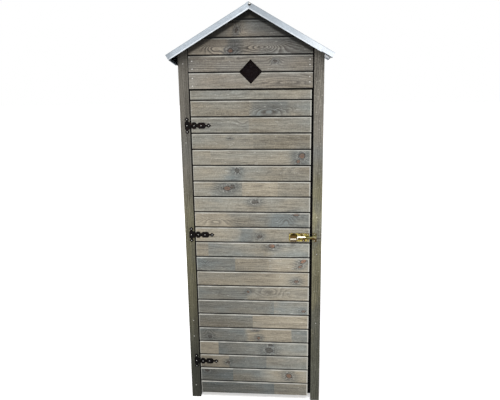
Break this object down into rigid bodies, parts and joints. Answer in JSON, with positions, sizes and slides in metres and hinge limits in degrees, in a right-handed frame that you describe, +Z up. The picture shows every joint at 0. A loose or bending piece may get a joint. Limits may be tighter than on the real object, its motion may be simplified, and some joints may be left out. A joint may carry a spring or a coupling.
{
  "type": "garden storage cabinet",
  "caption": "Tall narrow garden tool cabinet of grooved level boards with corner posts, a gabled metal roof, a diamond vent and one hinged door with a sliding bolt.",
  "frame": {"origin": "floor level, under the middle of the roof", "axes": "+X to the right of somebody facing the door, +Y into the cabinet away from the door, +Z up"},
  "size_m": [0.748, 0.6045, 1.9358],
  "materials": {
    "stained_wood": "weathered grey stain on planed softwood",
    "frame_wood": "raw planed softwood",
    "shelf_wood": "raw glued softwood panel",
    "galvanised_sheet": "zinc coated steel sheet, dull",
    "roof_fastener": "zinc plated screw with a washer",
    "black_iron": "black lacquer, satin",
    "yellow_zinc": "yellow passivated zinc on steel",
    "nail_steel": "zinc plated nail"
  },
  "bodies": {
    "cabinet": {"post_front_left": "stained_wood", "post_front_right": "stained_wood", "post_rear_left": "stained_wood", "post_rear_right": "stained_wood", "wall_boards_left": "stained_wood", "wall_boards_right": "stained_wood", "wall_boards_back": "stained_wood", "gable_board_1": "stained_wood", "gable_board_2": "stained_wood", "gable_board_3": "stained_wood", "gable_board_4": "stained_wood", "gable_board_5": "stained_wood", "jamb_left": "frame_wood", "jamb_right": "frame_wood", "back_battens": "frame_wood", "side_battens": "frame_wood", "floor_rail_front": "frame_wood", "floor_rail_back": "frame_wood", "floor_rail_left": "frame_wood", "floor_rail_right": "frame_wood", "header_rail": "frame_wood", "back_rail_top": "frame_wood", "eave_rail_left": "frame_wood", "eave_rail_right": "frame_wood", "ridge_beam": "frame_wood", "gable_cleats": "frame_wood", "floor_boards": "frame_wood", "shelf_battens": "frame_wood", "shelf_lower": "shelf_wood", "shelf_upper": "shelf_wood", "roof_sheet_left": "galvanised_sheet", "roof_sheet_right": "galvanised_sheet", "roof_screws": "roof_fastener", "hinge_plate_top": "black_iron", "hinge_pin_top": "black_iron", "hinge_plate_middle": "black_iron", "hinge_pin_middle": "black_iron", "hinge_plate_bottom": "black_iron", "hinge_pin_bottom": "black_iron", "hinge_plate_screws": "black_iron", "bolt_keeper": "yellow_zinc", "keeper_screws": "yellow_zinc", "nails": "nail_steel"},
    "door": {"door_boards": "stained_wood", "door_bottom_board": "stained_wood", "door_top_board": "stained_wood", "door_stile_hinge": "frame_wood", "door_stile_bolt": "frame_wood", "door_ledge": "frame_wood", "door_brace_lower": "frame_wood", "door_brace_upper": "frame_wood", "hinge_strap_top": "black_iron", "hinge_strap_middle": "black_iron", "hinge_strap_bottom": "black_iron", "hinge_strap_screws": "black_iron", "bolt_plate": "yellow_zinc", "bolt_barrel": "yellow_zinc", "bolt_screws": "yellow_zinc"},
    "bolt": {"bolt_rod": "yellow_zinc", "bolt_tab": "yellow_zinc"}
  },
  "joints": [
    {"name": "door_hinge", "type": "hinge", "parent": "cabinet", "child": "door", "pos_m": [-0.282, -0.25425, 0.882], "axis": [0, 0, -1], "range_deg": [0, 170]},
    {"name": "bolt_slide", "type": "slide", "parent": "door", "child": "bolt", "axis": [-1, 0, 0], "range_m": [0, 0.036]}
  ]
}
